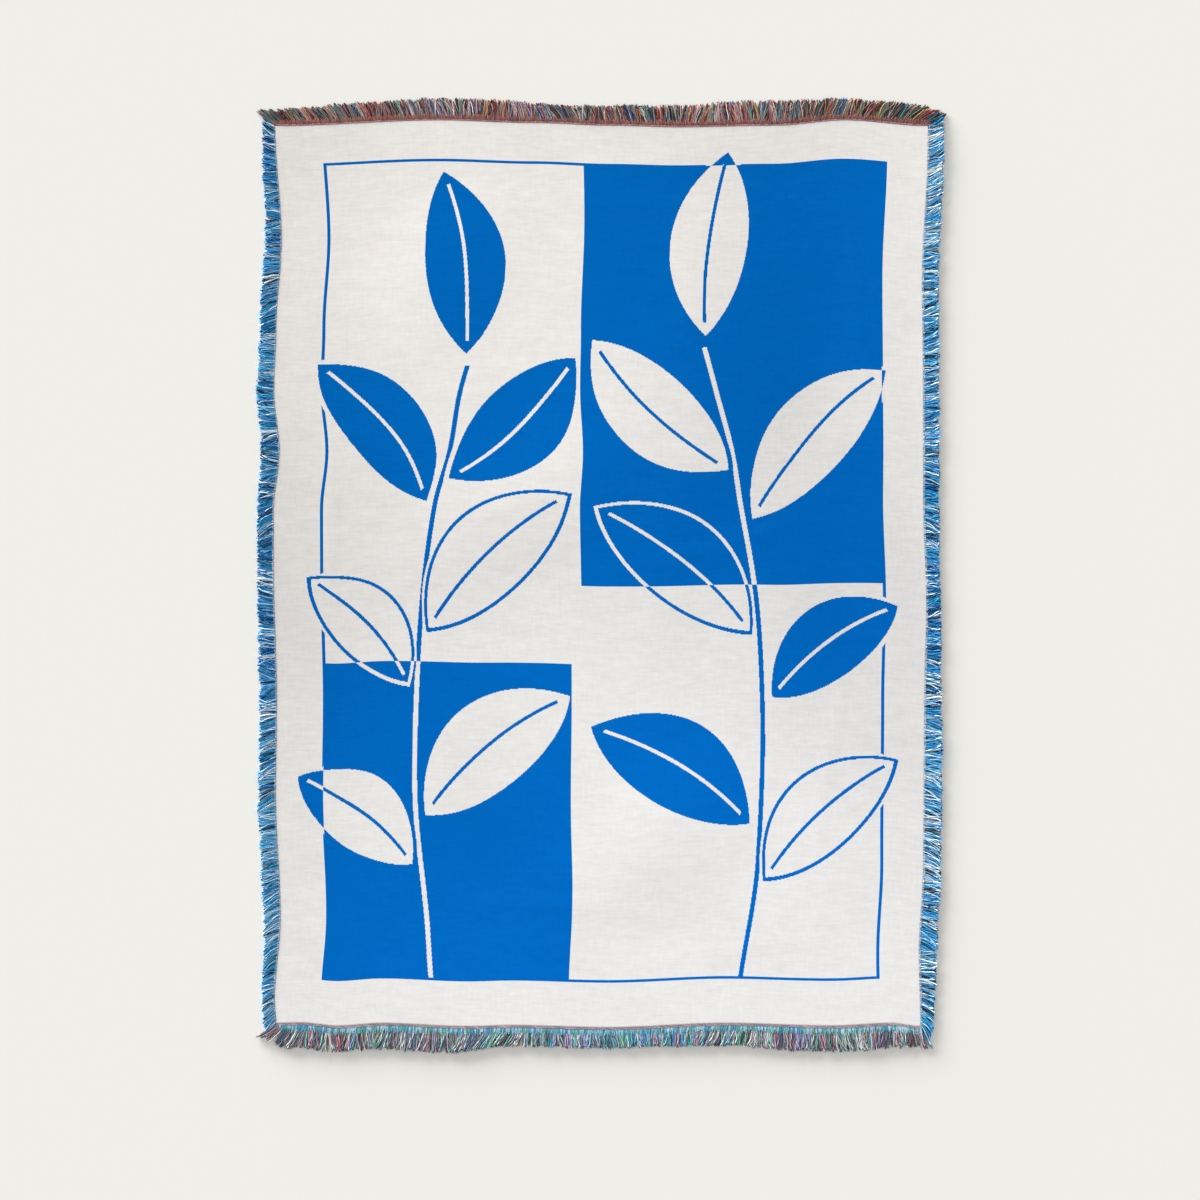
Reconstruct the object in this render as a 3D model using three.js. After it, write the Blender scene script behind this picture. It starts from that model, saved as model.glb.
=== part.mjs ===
// A woven throw blanket, laid out flat and face up: one jacquard panel with fringe on all four
// sides. Millimetres, +Z up. Seen from above, +X is to the right and +Y runs up its length. The
// origin is the middle of the underside of the whole blanket.
import * as THREE from "three";

// The woven panel
const PANEL_WIDTH = 1205;
const PANEL_LENGTH = 1678;
const CLOTH_THICKNESS = 2.5;
const CELLS_ACROSS = 20;
const CELLS_ALONG = 28;

// The fringe: each side has one backing, its woven header, and locks of yarn that grow from it
const SEAM_GAP = 0.3;
const LOCKS_PER_CELL = 3;
const LEAST_LOCK_GAP = 1.2;
const REACH_UNEVENNESS = 1.5;
const WOBBLE_STEP = 2.4;

// Rings of a lock from its root to its cut end: share of the way out, share of the sideways
// lean, width along the edge, height, and how much of the width is left at the top
const LOCK_ROOT_WIDTH = 17;
const LOCK_RINGS = [
  { way: 0.5, lean: 0.42, width: 16.5, height: 3.4, crown: 0.7 },
  { way: 1, lean: 1, width: 15, height: 2.2, crown: 0.8 },
];

// How far each edge strays outwards from the true rectangle. "at" is measured up the left and
// right edges from the bottom, and along the top and bottom edges from the left.
const EDGE_STRAY = {
  left: [
    { at: 0, out: 2 },
    { at: 44, out: 5 },
    { at: 200, out: -6 },
    { at: 430, out: 3 },
    { at: 600, out: 1 },
    { at: 860, out: 7 },
    { at: 960, out: 7 },
    { at: 1070, out: -4 },
    { at: 1185, out: 6 },
    { at: 1300, out: 2 },
    { at: 1465, out: -8 },
    { at: 1678, out: 4 },
  ],
  right: [
    { at: 0, out: -5 },
    { at: 137, out: -8 },
    { at: 300, out: 0 },
    { at: 600, out: 2 },
    { at: 790, out: 6 },
    { at: 980, out: 0 },
    { at: 1163, out: 0 },
    { at: 1400, out: -2 },
    { at: 1629, out: 8 },
    { at: 1678, out: 9 },
  ],
  bottom: [
    { at: 0, out: -2 },
    { at: 45, out: -3 },
    { at: 115, out: 3 },
    { at: 195, out: -2 },
    { at: 360, out: 4 },
    { at: 440, out: 2 },
    { at: 620, out: 6 },
    { at: 840, out: -2 },
    { at: 1040, out: 3 },
    { at: 1150, out: -2 },
    { at: 1205, out: 4 },
  ],
  top: [
    { at: 0, out: -4 },
    { at: 303, out: 7 },
    { at: 475, out: 2 },
    { at: 620, out: -3 },
    { at: 740, out: -6 },
    { at: 920, out: -3 },
    { at: 1050, out: 7 },
    { at: 1205, out: -4 },
  ],
};

// How the yarn lies at stations along each edge: its lean in degrees from square to the edge,
// positive towards the end of the edge, and how far it reaches from the edge
const YARN_LAY = {
  left: [
    { at: 0, lean: -44, reach: 24 },
    { at: 80, lean: -28, reach: 27 },
    { at: 230, lean: -30, reach: 32 },
    { at: 350, lean: -8, reach: 30 },
    { at: 425, lean: -32, reach: 31 },
    { at: 530, lean: -30, reach: 31 },
    { at: 590, lean: 0, reach: 32 },
    { at: 760, lean: 8, reach: 30 },
    { at: 935, lean: -26, reach: 28 },
    { at: 1000, lean: -2, reach: 29 },
    { at: 1070, lean: 6, reach: 34 },
    { at: 1160, lean: 12, reach: 31 },
    { at: 1325, lean: -20, reach: 30 },
    { at: 1450, lean: 6, reach: 32 },
    { at: 1600, lean: 9, reach: 28 },
    { at: 1678, lean: 36, reach: 24 },
  ],
  right: [
    { at: 0, lean: -60, reach: 17 },
    { at: 40, lean: -38, reach: 25 },
    { at: 105, lean: -12, reach: 32 },
    { at: 185, lean: -28, reach: 33 },
    { at: 255, lean: -4, reach: 33 },
    { at: 330, lean: -24, reach: 33 },
    { at: 500, lean: -3, reach: 34 },
    { at: 600, lean: -10, reach: 34 },
    { at: 760, lean: 4, reach: 27 },
    { at: 880, lean: -16, reach: 26 },
    { at: 1030, lean: -18, reach: 29 },
    { at: 1150, lean: 6, reach: 30 },
    { at: 1400, lean: 2, reach: 30 },
    { at: 1520, lean: 21, reach: 31 },
    { at: 1640, lean: 27, reach: 29 },
    { at: 1678, lean: 30, reach: 28 },
  ],
  bottom: [
    { at: 0, lean: -50, reach: 38 },
    { at: 40, lean: -26, reach: 48 },
    { at: 110, lean: -2, reach: 49 },
    { at: 210, lean: -14, reach: 48 },
    { at: 320, lean: 6, reach: 48 },
    { at: 380, lean: -30, reach: 45 },
    { at: 460, lean: -26, reach: 38 },
    { at: 485, lean: 10, reach: 39 },
    { at: 640, lean: 8, reach: 38 },
    { at: 760, lean: -4, reach: 40 },
    { at: 840, lean: -20, reach: 41 },
    { at: 930, lean: 3, reach: 46 },
    { at: 1050, lean: 11, reach: 48 },
    { at: 1140, lean: -3, reach: 45 },
    { at: 1205, lean: 24, reach: 43 },
  ],
  top: [
    { at: 0, lean: -50, reach: 33 },
    { at: 110, lean: -40, reach: 34 },
    { at: 220, lean: -13, reach: 35 },
    { at: 320, lean: -25, reach: 38 },
    { at: 350, lean: 1, reach: 38 },
    { at: 430, lean: 0, reach: 38 },
    { at: 530, lean: -32, reach: 34 },
    { at: 690, lean: -19, reach: 36 },
    { at: 790, lean: 18, reach: 41 },
    { at: 855, lean: -8, reach: 43 },
    { at: 960, lean: 8, reach: 41 },
    { at: 1100, lean: 29, reach: 36 },
    { at: 1170, lean: 42, reach: 36 },
    { at: 1205, lean: 58, reach: 30 },
  ],
};

// The backing of each fringe: the red header at the top, the red line and teal header at the
// bottom, and the narrow selvage at the sides
const BACKING_WIDTH = { left: 4, right: 4, bottom: 15, top: 7 };

// Slow rises of the relaxed cloth: the middle of each in millimetres from the panel's middle,
// its half sizes across and along itself, its turn in degrees, and its height. Between them and
// along every edge the panel lies flat.
const RISES = [
  { x: -290, y: 560, across: 150, along: 230, turn: -35, height: 1.6 },
  { x: 240, y: 450, across: 170, along: 300, turn: 20, height: 2.1 },
  { x: -150, y: 130, across: 160, along: 320, turn: -60, height: 1.8 },
  { x: 330, y: -60, across: 150, along: 260, turn: 5, height: 1.5 },
  { x: -330, y: -330, across: 150, along: 280, turn: 25, height: 2 },
  { x: 120, y: -490, across: 170, along: 260, turn: -50, height: 1.7 },
];

const FINISH = {
  cloth: { color: "#b4c4d4", roughness: 0.95 },
  left: { color: "#5a8db6", roughness: 0.95 },
  right: { color: "#6f9cc0", roughness: 0.95 },
  bottom: { color: "#7f95a0", roughness: 0.95 },
  top: { color: "#77625e", roughness: 0.95 },
};

// The value of a table's column at a distance along the edge, eased between its stations
function eased(table, column, at) {
  const next = table.findIndex((row) => row.at > at);
  if (next === 0) return table[0][column];
  if (next < 0) return table[table.length - 1][column];
  const before = table[next - 1];
  const after = table[next];
  const part = (at - before.at) / (after.at - before.at);
  return THREE.MathUtils.lerp(before[column], after[column], THREE.MathUtils.smoothstep(part, 0, 1));
}

// An edge runs straight from one cell of the panel to the next, so its backing can follow it
function stray(side, share, cells, length) {
  const cell = Math.min(Math.floor(share * cells), cells - 1);
  const from = eased(EDGE_STRAY[side], "out", (cell / cells) * length);
  const to = eased(EDGE_STRAY[side], "out", ((cell + 1) / cells) * length);
  return THREE.MathUtils.lerp(from, to, share * cells - cell);
}

// A point of the panel in plan: u runs from its left edge to its right, v from bottom to top
function panelPoint(u, v) {
  const left = stray("left", v, CELLS_ALONG, PANEL_LENGTH);
  const right = stray("right", v, CELLS_ALONG, PANEL_LENGTH);
  const bottom = stray("bottom", u, CELLS_ACROSS, PANEL_WIDTH);
  const top = stray("top", u, CELLS_ACROSS, PANEL_WIDTH);
  const x = (u - 0.5) * PANEL_WIDTH - left * (1 - u) + right * u;
  const y = (v - 0.5) * PANEL_LENGTH - bottom * (1 - v) + top * v;
  return new THREE.Vector2(x, y);
}

// Height of the panel's underside over the floor
function riseAt(point) {
  let height = 0;
  for (const rise of RISES) {
    const turn = THREE.MathUtils.degToRad(rise.turn);
    const own = point.clone().sub(new THREE.Vector2(rise.x, rise.y));
    own.rotateAround(new THREE.Vector2(), -turn);
    const distance = Math.hypot(own.x / rise.across, own.y / rise.along);
    if (distance < 1) height += rise.height * (1 - distance ** 2) ** 2;
  }
  return height;
}

// Collects points and the faces between them, and makes one closed geometry of them
class Shell {
  constructor(flipped) {
    this.flipped = flipped;
    this.points = [];
    this.faces = [];
  }

  point(x, y, z) {
    this.points.push(x, y, z);
    return this.points.length / 3 - 1;
  }

  quad(a, b, c, d) {
    if (this.flipped) this.faces.push(a, c, b, a, d, c);
    else this.faces.push(a, b, c, a, c, d);
  }

  geometry() {
    const made = new THREE.BufferGeometry();
    made.setAttribute("position", new THREE.Float32BufferAttribute(this.points, 3));
    made.setIndex(this.faces);
    made.computeVertexNormals();
    return made;
  }
}

// The panel: a top and an underside of the same cells, joined round the edge
function panel() {
  const shell = new Shell(false);
  const under = [];
  const over = [];
  for (let j = 0; j <= CELLS_ALONG; j += 1) {
    under.push([]);
    over.push([]);
    for (let i = 0; i <= CELLS_ACROSS; i += 1) {
      const place = panelPoint(i / CELLS_ACROSS, j / CELLS_ALONG);
      const rise = riseAt(place);
      under[j].push(shell.point(place.x, place.y, rise));
      over[j].push(shell.point(place.x, place.y, rise + CLOTH_THICKNESS));
    }
  }
  for (let j = 0; j < CELLS_ALONG; j += 1) {
    for (let i = 0; i < CELLS_ACROSS; i += 1) {
      shell.quad(over[j][i], over[j][i + 1], over[j + 1][i + 1], over[j + 1][i]);
      shell.quad(under[j][i], under[j + 1][i], under[j + 1][i + 1], under[j][i + 1]);
    }
  }
  for (let i = 0; i < CELLS_ACROSS; i += 1) {
    const j = CELLS_ALONG;
    shell.quad(under[0][i], under[0][i + 1], over[0][i + 1], over[0][i]);
    shell.quad(under[j][i + 1], under[j][i], over[j][i], over[j][i + 1]);
  }
  for (let j = 0; j < CELLS_ALONG; j += 1) {
    const i = CELLS_ACROSS;
    shell.quad(under[j + 1][0], under[j][0], over[j][0], over[j + 1][0]);
    shell.quad(under[j][i], under[j + 1][i], over[j + 1][i], over[j][i]);
  }
  return shell.geometry();
}

// Each side of the blanket: the panel's edge, the way along it, the way out from it, and
// whether along, out and up make a left-handed set
const SIDES = {
  left: {
    edge: (share) => panelPoint(0, share),
    along: new THREE.Vector2(0, 1),
    out: new THREE.Vector2(-1, 0),
    flipped: false,
    cells: CELLS_ALONG,
    length: PANEL_LENGTH,
  },
  right: {
    edge: (share) => panelPoint(1, share),
    along: new THREE.Vector2(0, 1),
    out: new THREE.Vector2(1, 0),
    flipped: true,
    cells: CELLS_ALONG,
    length: PANEL_LENGTH,
  },
  bottom: {
    edge: (share) => panelPoint(share, 0),
    along: new THREE.Vector2(1, 0),
    out: new THREE.Vector2(0, -1),
    flipped: true,
    cells: CELLS_ACROSS,
    length: PANEL_WIDTH,
  },
  top: {
    edge: (share) => panelPoint(share, 1),
    along: new THREE.Vector2(1, 0),
    out: new THREE.Vector2(0, 1),
    flipped: false,
    cells: CELLS_ACROSS,
    length: PANEL_WIDTH,
  },
};

// Where the rings of every lock on a side lie, and how wide each may be beside its neighbours
function lockRings(name) {
  const side = SIDES[name];
  const count = side.cells * LOCKS_PER_CELL;
  const locks = [];
  for (let n = 0; n < count; n += 1) {
    const share = (n + 0.5) / count;
    const at = share * side.length;
    const lean = THREE.MathUtils.degToRad(eased(YARN_LAY[name], "lean", at));
    const wobble = REACH_UNEVENNESS * Math.sin(n * WOBBLE_STEP);
    const free = eased(YARN_LAY[name], "reach", at) + wobble - BACKING_WIDTH[name];
    const root = side.edge(share).addScaledVector(side.out, SEAM_GAP + BACKING_WIDTH[name]);
    locks.push(
      LOCK_RINGS.map((ring) => ({
        ...ring,
        middle: root
          .clone()
          .addScaledVector(side.out, free * ring.way)
          .addScaledVector(side.along, free * Math.tan(lean) * ring.lean),
      })),
    );
  }
  for (let n = 0; n < count - 1; n += 1) {
    locks[n].forEach((ring, level) => {
      const next = locks[n + 1][level];
      const room = next.middle.clone().sub(ring.middle).dot(side.along) - LEAST_LOCK_GAP;
      ring.width = Math.min(ring.width, room);
      next.width = Math.min(next.width, room);
    });
  }
  return locks;
}

// One fringe: the backing is a row of sections along the edge, open on its outer side where a
// lock begins, and each lock runs on from there through its rings to a flat cut end
function fringe(name) {
  const side = SIDES[name];
  const shell = new Shell(side.flipped);
  const section = (share) => {
    const inner = side.edge(share).addScaledVector(side.out, SEAM_GAP);
    const outer = inner.clone().addScaledVector(side.out, BACKING_WIDTH[name]);
    return [
      shell.point(inner.x, inner.y, 0),
      shell.point(outer.x, outer.y, 0),
      shell.point(outer.x, outer.y, CLOTH_THICKNESS),
      shell.point(inner.x, inner.y, CLOTH_THICKNESS),
    ];
  };
  const joinSections = (a, b, growsLock) => {
    shell.quad(a[0], a[1], b[1], b[0]);
    shell.quad(a[2], a[3], b[3], b[2]);
    shell.quad(a[3], a[0], b[0], b[3]);
    if (!growsLock) shell.quad(a[1], a[2], b[2], b[1]);
  };
  const growLock = (a, b, rings) => {
    let last = [a[1], b[1], b[2], a[2]];
    for (const ring of rings) {
      const corners = [
        { aside: -0.5, z: 0 },
        { aside: 0.5, z: 0 },
        { aside: 0.5 * ring.crown, z: ring.height },
        { aside: -0.5 * ring.crown, z: ring.height },
      ].map((corner) => {
        const place = ring.middle.clone().addScaledVector(side.along, ring.width * corner.aside);
        return shell.point(place.x, place.y, corner.z);
      });
      for (let k = 0; k < corners.length; k += 1) {
        const m = (k + 1) % corners.length;
        shell.quad(last[k], corners[k], corners[m], last[m]);
      }
      last = corners;
    }
    shell.quad(last[0], last[3], last[2], last[1]);
  };

  const pitch = 1 / (side.cells * LOCKS_PER_CELL);
  const halfRoot = LOCK_ROOT_WIDTH / 2 / side.length;
  let before = section(0);
  shell.quad(before[0], before[3], before[2], before[1]);
  lockRings(name).forEach((rings, n) => {
    const from = section((n + 0.5) * pitch - halfRoot);
    const to = section((n + 0.5) * pitch + halfRoot);
    joinSections(before, from, false);
    joinSections(from, to, true);
    growLock(from, to, rings);
    before = to;
    if ((n + 1) % LOCKS_PER_CELL === 0) {
      const cellEnd = section((n + 1) * pitch);
      joinSections(to, cellEnd, false);
      before = cellEnd;
    }
  });
  shell.quad(before[0], before[1], before[2], before[3]);
  return shell.geometry();
}

function mesh(name, geometry, finish) {
  const made = new THREE.Mesh(geometry, new THREE.MeshStandardMaterial({ ...finish, metalness: 0 }));
  made.name = name;
  return made;
}

const blanket = new THREE.Group();
blanket.add(mesh("cloth", panel(), FINISH.cloth));
for (const name of Object.keys(SIDES)) {
  blanket.add(mesh(`fringe_${name}`, fringe(name), FINISH[name]));
}

// The origin moves to the middle of the blanket's underside
const whole = new THREE.Box3().setFromObject(blanket);
const middle = whole.getCenter(new THREE.Vector3());
blanket.position.set(-middle.x, -middle.y, -whole.min.z);

export default blanket;
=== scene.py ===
# A woven throw blanket laid out flat and face up, with a fringe of loose yarn on all four sides.
# Metres, +Z up. Seen from above, +X is to the right and +Y runs up the blanket's length.
import math
from functools import partial

import bpy
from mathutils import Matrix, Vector


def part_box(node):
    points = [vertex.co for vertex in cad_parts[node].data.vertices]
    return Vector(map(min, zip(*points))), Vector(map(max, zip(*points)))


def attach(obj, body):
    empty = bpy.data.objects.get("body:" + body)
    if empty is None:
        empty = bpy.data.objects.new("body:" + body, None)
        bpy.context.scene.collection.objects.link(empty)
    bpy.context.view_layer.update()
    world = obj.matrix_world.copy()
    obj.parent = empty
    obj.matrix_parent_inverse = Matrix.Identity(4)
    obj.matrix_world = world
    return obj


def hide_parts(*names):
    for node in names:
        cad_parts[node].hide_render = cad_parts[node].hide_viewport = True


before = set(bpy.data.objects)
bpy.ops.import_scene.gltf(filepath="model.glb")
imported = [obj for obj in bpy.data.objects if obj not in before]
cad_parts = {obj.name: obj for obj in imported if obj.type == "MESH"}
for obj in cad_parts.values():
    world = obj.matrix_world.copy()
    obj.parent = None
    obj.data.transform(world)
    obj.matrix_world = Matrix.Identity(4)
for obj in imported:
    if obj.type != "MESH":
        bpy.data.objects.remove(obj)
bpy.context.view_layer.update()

MM = 0.001

# Kinds of node and socket that are used most
MATH = "ShaderNodeMath"
VECTOR_MATH = "ShaderNodeVectorMath"
MIX = "ShaderNodeMix"
NOISE = "ShaderNodeTexNoise"
GROUP = "ShaderNodeGroup"
MAPPING = "ShaderNodeMapping"
MAP_RANGE = "ShaderNodeMapRange"
SEPARATE = "ShaderNodeSeparateXYZ"
PRINCIPLED = "ShaderNodeBsdfPrincipled"
NAMED_ATTRIBUTE = "GeometryNodeInputNamedAttribute"
STORE_ATTRIBUTE = "GeometryNodeStoreNamedAttribute"
FLOAT = "NodeSocketFloat"
VECTOR = "NodeSocketVector"

# The woven panel, as in the CAD
PANEL_WIDTH = 1205 * MM
PANEL_LENGTH = 1678 * MM
CLOTH_THICKNESS = 2.5 * MM
CAD_CELLS_ACROSS = 20
CAD_CELLS_ALONG = 28

# The finer grid of the finished panel, and its rounded rim
CELLS_ACROSS = 100
CELLS_ALONG = 140
EDGE_ROW = 1.6 * MM
RIM_RADIUS = CLOTH_THICKNESS / 2
RIM_ANGLES = (45, 0, -45)

# How far each edge strays outwards from the true rectangle: millimetres along the edge, up from
# the bottom or on from the left, and millimetres out
EDGE_STRAY = {
    "left": (
        (0, 2), (44, 5), (200, -6), (430, 3), (600, 1), (860, 7), (960, 7), (1070, -4), (1185, 6),
        (1300, 2), (1465, -8), (1678, 4),
    ),
    "right": (
        (0, -5), (137, -8), (300, 0), (600, 2), (790, 6), (980, 0), (1163, 0), (1400, -2),
        (1629, 8), (1678, 9),
    ),
    "bottom": (
        (0, -2), (45, -3), (115, 3), (195, -2), (360, 4), (440, 2), (620, 6), (840, -2),
        (1040, 3), (1150, -2), (1205, 4),
    ),
    "top": (
        (0, -4), (303, 7), (475, 2), (620, -3), (740, -6), (920, -3), (1050, 7), (1205, -4),
    ),
}

# How the yarn leans along each edge: millimetres along the edge, and degrees from square to it,
# positive towards the end of the edge
LEAN = {
    "left": (
        (0, -48), (33, -42), (79, -26), (133, -38), (172, -29), (277, -26), (311, -13), (372, -2),
        (423, -36), (465, -8), (484, -31), (505, -22), (531, -34), (554, -10), (589, 0),
        (621, -20), (662, 14), (686, -12), (725, 0), (753, 16), (772, 0), (805, 12), (858, 4),
        (889, -6), (931, -32), (951, -14), (975, -22), (996, 0), (1030, -13), (1060, 10),
        (1097, -22), (1116, 6), (1153, 16), (1181, 5), (1261, 3), (1312, -20), (1340, -22),
        (1359, -9), (1400, -16), (1423, -2), (1449, 9), (1493, -4), (1519, 14), (1542, -22),
        (1558, -2), (1593, 9), (1640, 12), (1663, 26), (1678, 40),
    ),
    "right": (
        (0, -64), (9, -50), (33, -32), (56, -33), (91, -12), (121, -8), (149, -22), (184, -28),
        (219, -15), (256, -2), (282, -20), (328, -22), (344, -30), (367, -4), (398, -15),
        (437, -22), (461, -18), (484, -2), (542, 0), (561, -18), (577, -18), (600, -2),
        (635, -10), (665, -18), (702, -2), (749, 3), (786, 10), (842, 4), (861, -22), (898, -5),
        (912, -20), (947, -18), (993, -5), (1020, -22), (1037, -22), (1086, 0), (1130, 10),
        (1146, 0), (1163, 14), (1200, 0), (1258, 10), (1284, 16), (1303, 8), (1340, 12),
        (1386, 0), (1430, 0), (1465, 8), (1502, 20), (1581, 25), (1605, 30), (1640, 18),
        (1678, 16),
    ),
    "bottom": (
        (0, -54), (8, -52), (15, -30), (40, -24), (60, -8), (110, 0), (150, -2), (190, -14), (228, -14),
        (246, -2), (283, -14), (321, 10), (343, -17), (372, -32), (440, -34), (463, -22),
        (468, 6), (485, 12), (520, 0), (600, 0), (632, 16), (660, 4), (700, 4), (770, -4),
        (802, -20), (850, -20), (895, -6), (920, 4), (990, 2), (1030, 12), (1070, 12), (1120, 0),
        (1150, -4), (1170, 10), (1205, 13),
    ),
    "top": (
        (0, -52), (20, -46), (41, -36), (97, -42), (125, -36), (153, -20), (228, -12),
        (283, -20), (321, -26), (338, -16), (345, 2), (414, 0), (470, -14), (526, -36), (573, -20),
        (619, -18), (694, -20), (740, -4), (787, 22), (821, -4), (852, -10), (899, 0), (974, 10),
        (1029, 22), (1057, 12), (1095, 33), (1130, 26), (1160, 42), (1185, 55), (1205, 57),
    ),
}

# How far the yarn reaches from each edge: millimetres along the edge, and millimetres out
REACH = {
    "left": (
        (0, 20), (60, 23.5), (100, 26), (230, 31.2), (650, 31.2), (900, 28.2), (1075, 32.2),
        (1300, 29.2), (1400, 31.2), (1560, 27.2), (1678, 22),
    ),
    "right": (
        (0, 17), (20, 22), (50, 25.5), (110, 31), (500, 32.5), (700, 27), (830, 24), (1000, 28),
        (1300, 28.5), (1500, 29.5), (1678, 28),
    ),
    "bottom": (
        (0, 24), (9, 27), (18, 40), (50, 47), (321, 48), (380, 45), (442, 38), (619, 38),
        (694, 37), (787, 40), (880, 41), (955, 47), (1011, 48), (1123, 45), (1205, 40),
    ),
    "top": (
        (0, 30), (200, 36.2), (330, 39.2), (430, 39.2), (490, 35.2), (600, 35.2), (700, 38.2),
        (787, 41.2), (860, 44.2), (930, 44.2), (1030, 40.2), (1085, 36.2), (1140, 37.5),
        (1165, 35), (1185, 27), (1205, 20),
    ),
}

# How far up its palette each stretch of fringe starts: millimetres along the edge, and the share
SHADE_SHIFT = {
    "left": (
        (0, 0.2), (400, 0.2), (560, 0.15), (740, 0.02), (950, 0.05), (1150, 0.11), (1350, 0.12),
        (1678, 0.07),
    ),
    "right": (
        (0, 0.18), (150, 0.18), (350, 0.22), (550, 0.12), (740, 0), (950, 0.08), (1150, 0.14),
        (1363, 0.19), (1550, 0.26), (1640, 0.2), (1678, 0.02),
    ),
    "bottom": (
        (0, 0.22), (150, 0.19), (384, 0.16), (528, 0.05), (673, -0.06), (817, 0.05), (962, 0.17),
        (1106, 0.2), (1205, 0.24),
    ),
    "top": (
        (0, 0), (150, 0.03), (240, 0.08), (384, 0.18), (528, 0.13), (673, 0.09), (817, 0.13),
        (962, 0.14), (1106, 0.03),
    ),
}

# Slow rises of the relaxed cloth, as in the CAD: the middle of each in millimetres from the
# panel's middle, its half sizes across and along itself, its turn in degrees, and its height
RISES = (
    (-290, 560, 150, 230, -35, 1.6),
    (240, 450, 170, 300, 20, 2.1),
    (-150, 130, 160, 320, -60, 1.8),
    (330, -60, 150, 260, 5, 1.5),
    (-330, -330, 150, 280, 25, 2.0),
    (120, -490, 170, 260, -50, 1.7),
)

# Faint creases on top of them, in the same columns
CREASES = (
    (-390, 640, 14, 210, 84, 0.28),
    (60, 690, 18, 260, 88, 0.22),
    (480, 500, 16, 300, 4, 0.25),
    (-60, 330, 20, 240, 62, 0.3),
    (-500, 120, 14, 320, -3, 0.24),
    (180, 40, 22, 280, -74, 0.3),
    (-210, -190, 18, 260, 80, 0.26),
    (430, -330, 16, 300, -8, 0.24),
    (-80, -620, 20, 320, 86, 0.26),
    (260, -700, 16, 220, -82, 0.2),
)


def eased(rows, at):
    """The second column of a table at a distance along the edge, eased between its rows."""
    if at <= rows[0][0]:
        return rows[0][1]
    for before, after in zip(rows, rows[1:]):
        if at < after[0]:
            part = (at - before[0]) / (after[0] - before[0])
            return before[1] + (after[1] - before[1]) * part * part * (3 - 2 * part)
    return rows[-1][1]


def stray(side, share):
    """How far an edge lies out from the true rectangle, in metres, at a share of its length."""
    length = PANEL_LENGTH if side in ("left", "right") else PANEL_WIDTH
    return eased(EDGE_STRAY[side], share * length / MM) * MM


def plan_point(u, v):
    """A point of the panel in plan, from the panel's own middle."""
    x = (u - 0.5) * PANEL_WIDTH - stray("left", v) * (1 - u) + stray("right", v) * u
    y = (v - 0.5) * PANEL_LENGTH - stray("bottom", u) * (1 - v) + stray("top", u) * v
    return Vector((x, y, 0))


def panel_middle():
    """Where the panel's own middle lies in the frame, from the box of its CAD solid."""
    low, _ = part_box("cloth")
    left = min(plan_point(0, j / CAD_CELLS_ALONG).x for j in range(CAD_CELLS_ALONG + 1))
    bottom = min(plan_point(i / CAD_CELLS_ACROSS, 0).y for i in range(CAD_CELLS_ACROSS + 1))
    return Vector((low[0] - left, low[1] - bottom, 0))


MIDDLE = panel_middle()


def swell(rows, place):
    """Height that a table of rises or creases adds at a point from the panel's middle."""
    height = 0
    for x, y, across, along, turn, top in rows:
        own = place - Vector((x, y, 0)) * MM
        angle = -math.radians(turn)
        own_x = own.x * math.cos(angle) - own.y * math.sin(angle)
        own_y = own.x * math.sin(angle) + own.y * math.cos(angle)
        distance = math.hypot(own_x / (across * MM), own_y / (along * MM))
        if distance < 1:
            height += top * MM * (1 - distance ** 2) ** 2
    return height


def linear(hex_colour):
    """Linear RGBA of an sRGB hex colour."""
    channels = [int(hex_colour[k : k + 2], 16) / 255 for k in (1, 3, 5)]
    return [c / 12.92 if c <= 0.04045 else ((c + 0.055) / 1.055) ** 2.4 for c in channels] + [1]


def add_node(tree, kind, *inputs, into=None, **settings):
    """Adds a node with its settings. Inputs in order, or by name or identifier in into, are a
    value, a socket, a node for its first output in use, or None to leave one as it is."""
    made = tree.nodes.new(kind)
    for name, value in settings.items():
        setattr(made, name, value)
    given = list(zip(made.inputs, inputs))
    for name, value in (into or {}).items():
        given.append((next(s for s in made.inputs if name in (s.identifier, s.name)), value))
    for socket, value in given:
        if isinstance(value, bpy.types.Node):
            value = next(s for s in value.outputs if s.enabled)
        if isinstance(value, bpy.types.NodeSocket):
            tree.links.new(value, socket)
        elif value is not None:
            socket.default_value = value
    return made


def new_group(name, kind, inputs, outputs):
    """A node group with named sockets, given as (name, type) pairs, the function that adds its
    nodes, and what it is given."""
    tree = bpy.data.node_groups.new(name, kind)
    for direction, sockets in (("INPUT", inputs), ("OUTPUT", outputs)):
        for label, socket in sockets:
            tree.interface.new_socket(label, in_out=direction, socket_type=socket)
    return tree, partial(add_node, tree), tree.nodes.new("NodeGroupInput").outputs


def new_material(name):
    """An empty node material and the function that adds its nodes."""
    made = bpy.data.materials.new(name)
    made.use_nodes = True
    made.node_tree.nodes.clear()
    return made, partial(add_node, made.node_tree)


def new_object(name, data):
    """An object with this data, at the origin and in the scene."""
    made = bpy.data.objects.new(name, data)
    bpy.context.scene.collection.objects.link(made)
    return made


def new_piece(name, mesh, material=None):
    """An object with this mesh under its own name and, where one is given, this material."""
    mesh.name = name
    if material:
        mesh.materials.clear()
        mesh.materials.append(material)
    return new_object(name, mesh)


# The woven design: a plain one of this script's own, leaves on two stems over blocks of blue
# that change colour where a leaf crosses them. All of it is measured from the frame line's middle,
# which lies a little off the panel's. In millimetres: the frame line's half sizes and half its
# width, and each block's left, foot, right and top
DESIGN_MIDDLE = (5 * MM, 5 * MM)
FRAME_LINE = (520, 760, 3)
BLUE_BLOCKS = (
    (-40, -25, 520, 760),
    (-520, -760, -60, -170),
)

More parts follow.
